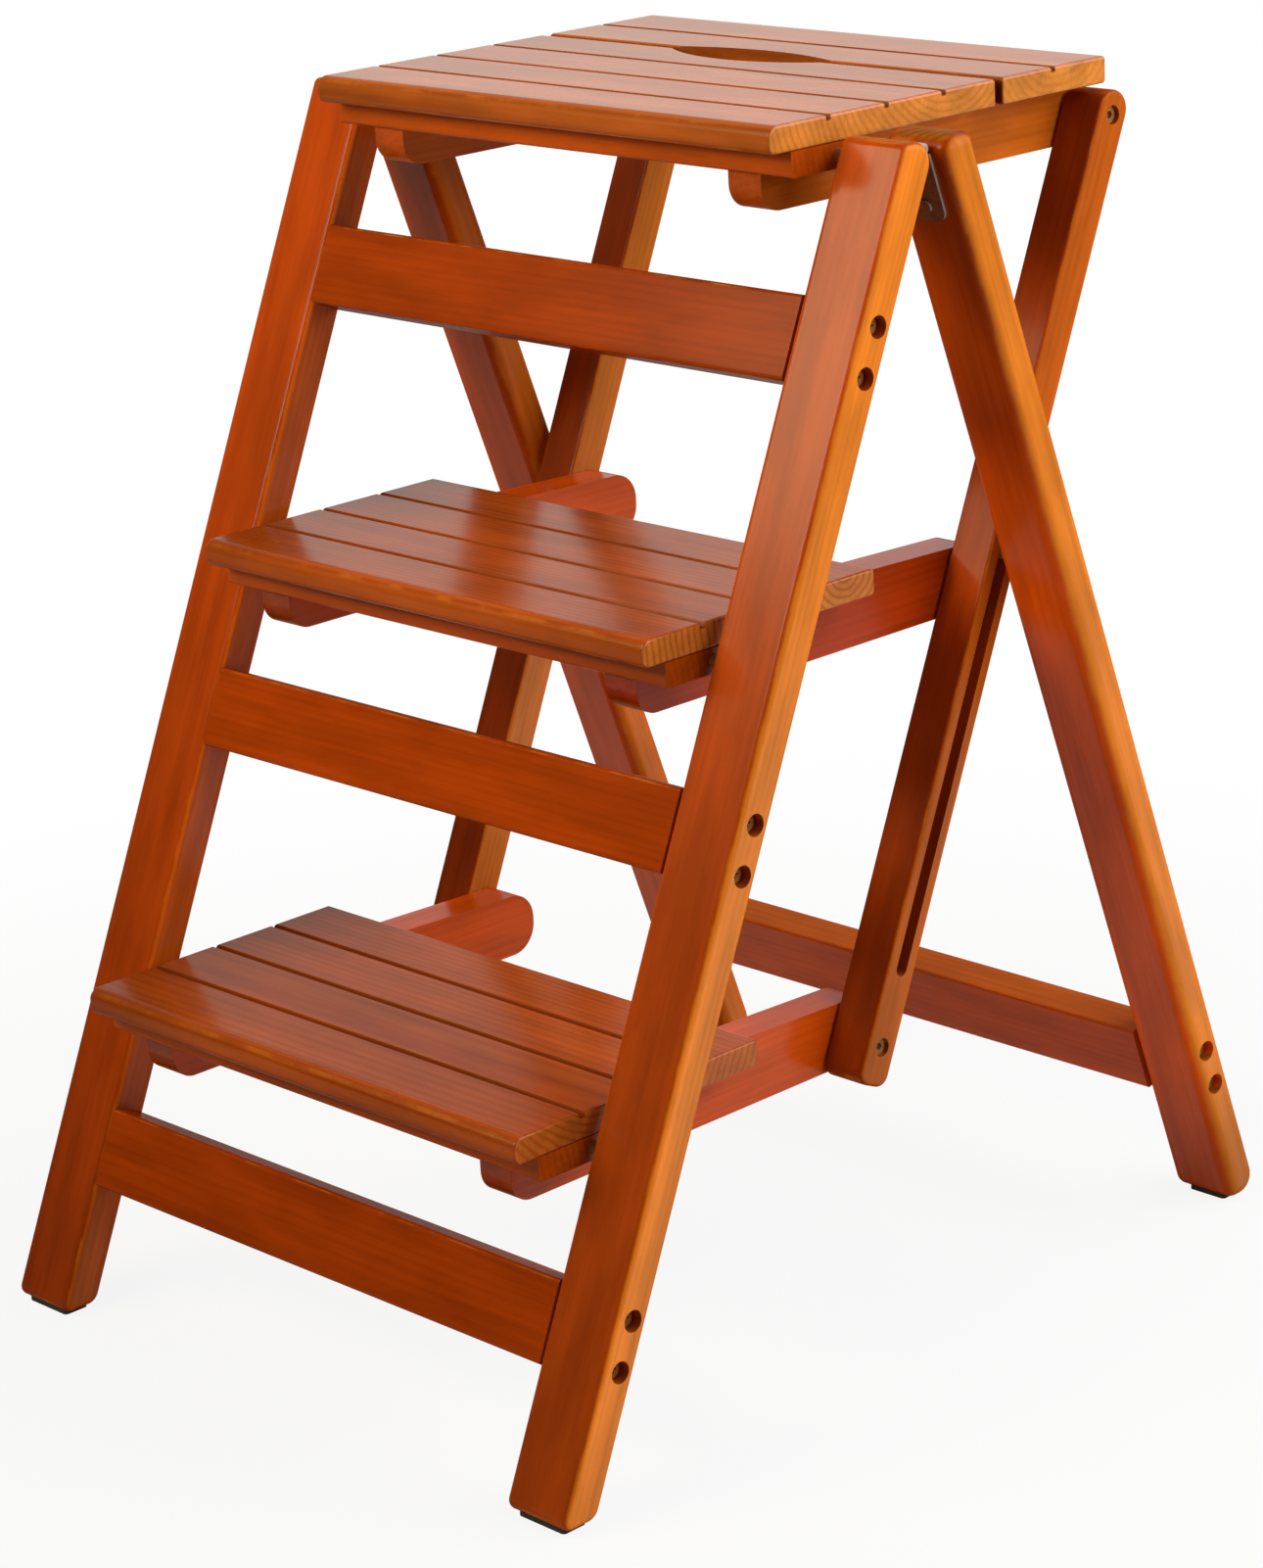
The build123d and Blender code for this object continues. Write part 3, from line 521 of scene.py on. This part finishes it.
# Floor: white to the camera, with a share of the shadow near the stool
FLOOR_SIZE = 14.0
FLOOR_COLOUR = (0.68, 0.68, 0.68)
WHITE_REACH = (0.30, 1.0)
WHITE_NEAR = 0.88
bpy.ops.mesh.primitive_plane_add(size=FLOOR_SIZE, location=(0.0, 0.0, 0.0))
floor = bpy.context.object
floor.name = "floor"
floor_paper, graph, shader = start_material("floor_paper")
graph.feed(shader.inputs["Base Color"], FLOOR_COLOUR)
graph.feed(shader.inputs["Roughness"], 0.9)
graph.feed(shader.inputs["Specular IOR Level"], 0.0)
reach = graph.node("VectorMath", operation="LENGTH")
graph.feed(reach.inputs[0], graph.node("TexCoord").outputs["Object"])
white_share = graph.ease(reach.outputs["Value"], *WHITE_REACH, WHITE_NEAR, 1.0)
seen = graph.node("LightPath").outputs["Is Camera Ray"]
blend = graph.node("MixShader")
graph.feed(blend.inputs[0], graph.times(seen, white_share))
graph.feed(blend.inputs[1], shader.outputs[0])
graph.feed(blend.inputs[2], graph.node("Emission").outputs[0])
graph.feed(graph.tree.nodes["Material Output"].inputs["Surface"], blend.outputs[0])
floor.data.materials.append(floor_paper)

# World: white to the camera, a bright wall behind the stool in reflections, and soft room light otherwise
WHITE = (1.0, 1.0, 1.0)
WALL_COLOUR = (1.0, 0.97, 0.90)
ROOM_LIGHT = (0.20, 0.20, 0.20)
WALL_SIDES = (-0.3, 0.3)
WALL_RISE = (0.08, 0.5)
FRONT_SHARE = 0.02
CEILING_SHARE = 0.22
world = bpy.data.worlds.new("studio")
bpy.context.scene.world = world
world.use_nodes = True
graph = Graph(world.node_tree)
direction = graph.split(graph.node("TexCoord").outputs["Generated"])
behind = graph.ease(direction[1], *WALL_SIDES, FRONT_SHARE, 1.0)
low = graph.ease(direction[2], *WALL_RISE, 1.0, CEILING_SHARE)
wall = graph.mix(graph.times(behind, low), (0.0, 0.0, 0.0), WALL_COLOUR)
path = graph.node("LightPath").outputs
light = graph.mix(path["Is Glossy Ray"], ROOM_LIGHT, wall)
light = graph.mix(path["Is Camera Ray"], light, WHITE)
graph.feed(world.node_tree.nodes["Background"].inputs["Color"], light)


def lamp(name, place, target, width, height, power, colour=WHITE, diffuse=1.0, spread=180.0):
    """A rectangular lamp aimed at a point. Its power is in watts and its spread in degrees."""
    data = bpy.data.lights.new(name, "AREA")
    data.shape = "RECTANGLE"
    data.size = width
    data.size_y = height
    data.energy = power
    data.color = colour
    data.diffuse_factor = diffuse
    data.spread = radians(spread)
    lamp_object = bpy.data.objects.new(name, data)
    bpy.context.collection.objects.link(lamp_object)
    lamp_object.location = place
    aim = Vector(target) - Vector(place)
    lamp_object.rotation_euler = aim.to_track_quat("-Z", "Y").to_euler()


lamp("key", (1.10, 0.50, 1.15), (0.10, 0.0, 0.45), 1.5, 1.2, 21.0)
lamp("front", (-0.20, -1.15, 1.15), (-0.05, 0.0, 0.80), 0.5, 0.5, 3.1, spread=80.0)
lamp("fill", (-0.95, -1.75, 1.75), (0.0, 0.0, 0.50), 1.3, 1.1, 25.0, (1.0, 0.95, 0.57), 0.18)
lamp("back", (0.30, 1.30, 1.90), (0.0, 0.10, 0.30), 0.9, 0.9, 8.0)

# Camera at the photograph's viewing angle
PHOTO_HEIGHT = 1601.0
FOCAL_PIXELS = 4415.8
SENSOR_HEIGHT = 36.0
CAMERA_PLACE = (1.59136, -1.24913 - MIDDLE_Y, 0.97548)
yaw = radians(46.166)
pitch = radians(-17.807)
roll = radians(-2.829)
forward = Vector((-sin(yaw) * cos(pitch), cos(yaw) * cos(pitch), sin(pitch)))
level_right = Vector((cos(yaw), sin(yaw), 0.0))
level_up = level_right.cross(forward)
right = level_right * cos(roll) + level_up * sin(roll)
up = level_up * cos(roll) - level_right * sin(roll)
turn = Matrix((right, up, -forward)).transposed().to_4x4()
camera_data = bpy.data.cameras.new("camera")
camera_data.sensor_fit = "VERTICAL"
camera_data.sensor_height = SENSOR_HEIGHT
camera_data.lens = FOCAL_PIXELS * SENSOR_HEIGHT / PHOTO_HEIGHT
camera_data.clip_start = 0.05
camera = bpy.data.objects.new("camera", camera_data)
bpy.context.collection.objects.link(camera)
camera.matrix_world = Matrix.Translation(CAMERA_PLACE) @ turn
bpy.context.scene.camera = camera
bpy.context.scene.view_settings.view_transform = "Standard"
